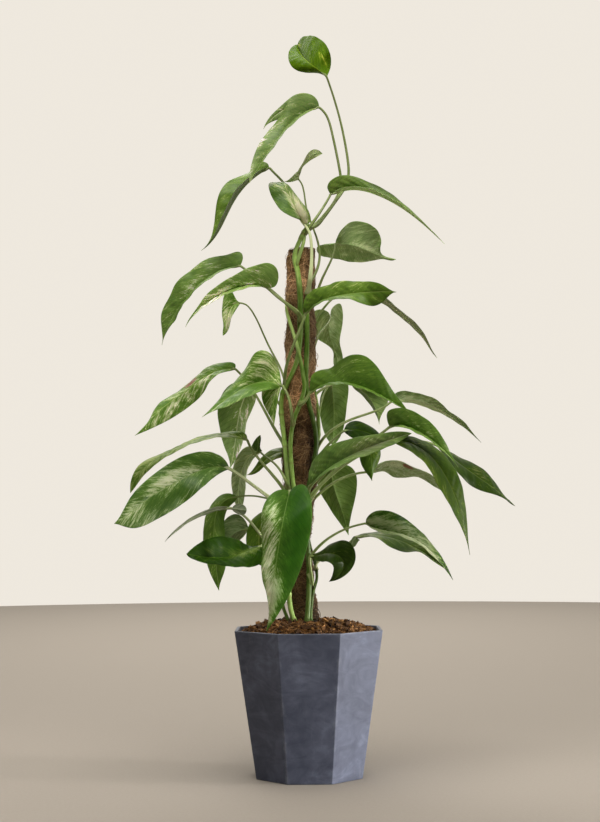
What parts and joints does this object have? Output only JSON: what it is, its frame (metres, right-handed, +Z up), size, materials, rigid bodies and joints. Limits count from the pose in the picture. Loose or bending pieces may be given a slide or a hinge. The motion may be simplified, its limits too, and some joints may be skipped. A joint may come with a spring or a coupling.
{
  "type": "potted albo variegated epipremnum pinnatum",
  "caption": "Climbing variegated house plant on a coir-wrapped pole, rooted in bark mix in a tapered eight-sided slate-grey planter that stands on its flat foot.",
  "frame": {"origin": "centre of the planter's underside, on the surface it stands on", "axes": "+Z up the pole, -Y the front of the plant, +X to the right as seen from the front"},
  "size_m": [0.5118, 0.3311, 1.0127],
  "materials": {
    "planter": "matte",
    "potting_mix": "rough, moist bark and coir chips",
    "coir": "rough fibre",
    "stake_wood": "bare",
    "stem": "satin, waxy",
    "leaf_green": "semi-gloss, waxy",
    "leaf_variegated": "semi-gloss, green marbled with cream",
    "leaf_pale": "satin, mostly cream and grey-green",
    "leaf_deep": "semi-gloss, deep green"
  },
  "bodies": {
    "root": {"pot": "planter", "soil": "potting_mix", "coir_wrap": "coir", "pole_stake": "stake_wood", "stem_left": "stem", "stem_front": "stem", "stem_back": "stem", "stem_cross": "stem", "leaf_01": "leaf_green", "leaf_02": "leaf_variegated", "leaf_03": "leaf_green", "leaf_04": "leaf_pale", "leaf_05": "leaf_variegated", "leaf_06": "leaf_green", "leaf_07": "leaf_pale", "leaf_08": "leaf_green", "leaf_09": "leaf_variegated", "leaf_10": "leaf_variegated", "leaf_11": "leaf_green", "leaf_12": "leaf_deep", "leaf_13": "leaf_pale", "leaf_14": "leaf_variegated", "leaf_15": "leaf_variegated", "leaf_16": "leaf_deep", "leaf_17": "leaf_pale", "leaf_18": "leaf_variegated", "leaf_19": "leaf_deep", "leaf_20": "leaf_green", "leaf_21": "leaf_deep", "leaf_22": "leaf_variegated", "leaf_23": "leaf_green", "leaf_24": "leaf_deep", "leaf_25": "leaf_green", "leaf_26": "leaf_green", "leaf_27": "leaf_green", "leaf_28": "leaf_deep", "leaf_29": "leaf_pale", "leaf_30": "leaf_green", "leaf_31": "leaf_variegated", "leaf_32": "leaf_deep", "leaf_33": "leaf_green", "leaf_34": "leaf_deep", "leaf_35": "leaf_green", "leaf_36": "leaf_variegated", "leaf_37": "leaf_green", "leaf_38": "leaf_deep", "leaf_39": "leaf_deep", "leaf_40": "leaf_deep", "leaf_41": "leaf_pale"}
  },
  "joints": []
}
